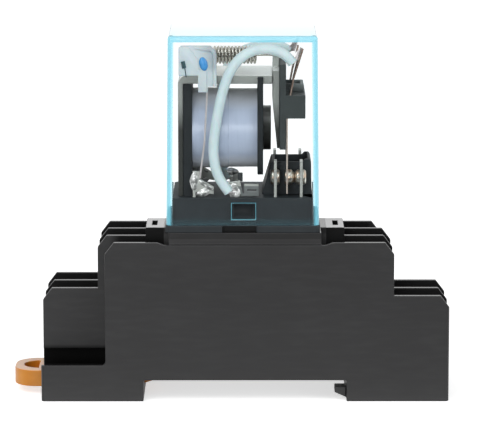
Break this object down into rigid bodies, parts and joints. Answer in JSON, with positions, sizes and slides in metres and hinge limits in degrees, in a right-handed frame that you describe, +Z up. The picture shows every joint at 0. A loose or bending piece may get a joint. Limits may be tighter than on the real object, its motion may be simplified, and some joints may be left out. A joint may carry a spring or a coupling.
{
  "type": "plug-in relay with screw socket",
  "caption": "Clear-covered plug-in changeover relay seated in a black two-tier screw-terminal socket with a sprung rail clip.",
  "frame": {"origin": "middle of the rail seat, the ceiling of the notch in the socket's underside", "axes": "+X along the socket, away from the clip's pull tab; +Y across it, from the front side plate to the back; +Z up, out of the seat"},
  "size_m": [0.0773, 0.023, 0.0649],
  "materials": {
    "socket_abs": "satin moulded, black",
    "clip_orange": "moulded, orange",
    "clear_cover": "clear moulded plastic, pale cyan tint",
    "base_black": "moulded, black",
    "coil_tape": "wrapped polyester tape, lilac grey",
    "soft_iron": "plated soft iron",
    "spring_steel": "drawn wire",
    "milky_holder": "milky moulded plastic",
    "blue_lamp": "blue lens",
    "tinned_wire": "tinned copper wire",
    "resistor_body": "coated ceramic",
    "silver_contact": "silver alloy rivets",
    "tinned_brass": "tinned brass strip",
    "copper_leaf": "copper alloy leaf",
    "wire_pvc": "pale soft insulation",
    "plated_brass": "nickel plated brass",
    "zinc_screw": "zinc plated steel"
  },
  "bodies": {
    "socket": {"socket_housing": "socket_abs", "bottom_cover": "socket_abs", "terminal_left_lower_middle": "plated_brass", "terminal_left_lower_outer": "plated_brass", "terminal_left_upper_middle": "plated_brass", "terminal_left_upper_outer": "plated_brass", "terminal_right_lower_middle": "plated_brass", "terminal_right_lower_outer": "plated_brass", "terminal_right_upper_middle": "plated_brass", "terminal_right_upper_outer": "plated_brass"},
    "din_clip": {"din_clip": "clip_orange"},
    "relay": {"relay_cover": "clear_cover", "relay_base": "base_black", "coil_bobbin": "base_black", "coil_winding": "coil_tape", "iron_core": "soft_iron", "yoke": "soft_iron", "no_contacts": "silver_contact", "nc_contacts": "silver_contact", "led_holder": "milky_holder", "led_lamp": "blue_lamp", "led_lead": "tinned_wire", "series_resistor": "resistor_body", "return_spring": "spring_steel", "coil_terminal_front": "tinned_brass", "com_terminal_front": "tinned_brass", "no_strip_front": "tinned_brass", "nc_strip_front": "tinned_brass", "pigtail_front": "wire_pvc", "coil_terminal_back": "tinned_brass", "com_terminal_back": "tinned_brass", "no_strip_back": "tinned_brass", "nc_strip_back": "tinned_brass", "pigtail_back": "wire_pvc"},
    "armature": {"armature_plate": "soft_iron", "contact_carrier": "base_black", "moving_contacts": "silver_contact", "moving_spring_front": "copper_leaf", "moving_spring_back": "copper_leaf"},
    "screw_left_lower_middle": {"screw_left_lower_middle": "zinc_screw", "washer_left_lower_middle": "zinc_screw"},
    "screw_left_lower_outer": {"screw_left_lower_outer": "zinc_screw", "washer_left_lower_outer": "zinc_screw"},
    "screw_left_upper_middle": {"screw_left_upper_middle": "zinc_screw", "washer_left_upper_middle": "zinc_screw"},
    "screw_left_upper_outer": {"screw_left_upper_outer": "zinc_screw", "washer_left_upper_outer": "zinc_screw"},
    "screw_right_lower_middle": {"screw_right_lower_middle": "zinc_screw", "washer_right_lower_middle": "zinc_screw"},
    "screw_right_lower_outer": {"screw_right_lower_outer": "zinc_screw", "washer_right_lower_outer": "zinc_screw"},
    "screw_right_upper_middle": {"screw_right_upper_middle": "zinc_screw", "washer_right_upper_middle": "zinc_screw"},
    "screw_right_upper_outer": {"screw_right_upper_outer": "zinc_screw", "washer_right_upper_outer": "zinc_screw"}
  },
  "joints": [
    {"name": "clip_slide", "type": "slide", "parent": "socket", "child": "din_clip", "axis": [-1, 0, 0], "range_m": [0, 0.0025], "stiffness_N_per_m": 800, "springref_m": -0.003},
    {"name": "relay_plug", "type": "slide", "parent": "socket", "child": "relay", "axis": [0, 0, 1], "range_m": [0, 0.012]},
    {"name": "armature_hinge", "type": "hinge", "parent": "relay", "child": "armature", "pos_m": [0.00485, 0, 0.0522], "axis": [0, 1, 0], "range_deg": [0, 2.6], "stiffness_Nm_per_rad": 0.02, "springref_deg": -8.59, "deforming": ["return_spring", "pigtail_front", "pigtail_back"]},
    {"name": "screw_left_lower_middle_lift", "type": "slide", "parent": "socket", "child": "screw_left_lower_middle", "axis": [0, 0, 1], "range_m": [0, 0.002]},
    {"name": "screw_left_lower_outer_lift", "type": "slide", "parent": "socket", "child": "screw_left_lower_outer", "axis": [0, 0, 1], "range_m": [0, 0.002]},
    {"name": "screw_left_upper_middle_lift", "type": "slide", "parent": "socket", "child": "screw_left_upper_middle", "axis": [0, 0, 1], "range_m": [0, 0.002]},
    {"name": "screw_left_upper_outer_lift", "type": "slide", "parent": "socket", "child": "screw_left_upper_outer", "axis": [0, 0, 1], "range_m": [0, 0.002]},
    {"name": "screw_right_lower_middle_lift", "type": "slide", "parent": "socket", "child": "screw_right_lower_middle", "axis": [0, 0, 1], "range_m": [0, 0.002]},
    {"name": "screw_right_lower_outer_lift", "type": "slide", "parent": "socket", "child": "screw_right_lower_outer", "axis": [0, 0, 1], "range_m": [0, 0.002]},
    {"name": "screw_right_upper_middle_lift", "type": "slide", "parent": "socket", "child": "screw_right_upper_middle", "axis": [0, 0, 1], "range_m": [0, 0.002]},
    {"name": "screw_right_upper_outer_lift", "type": "slide", "parent": "socket", "child": "screw_right_upper_outer", "axis": [0, 0, 1], "range_m": [0, 0.002]}
  ]
}
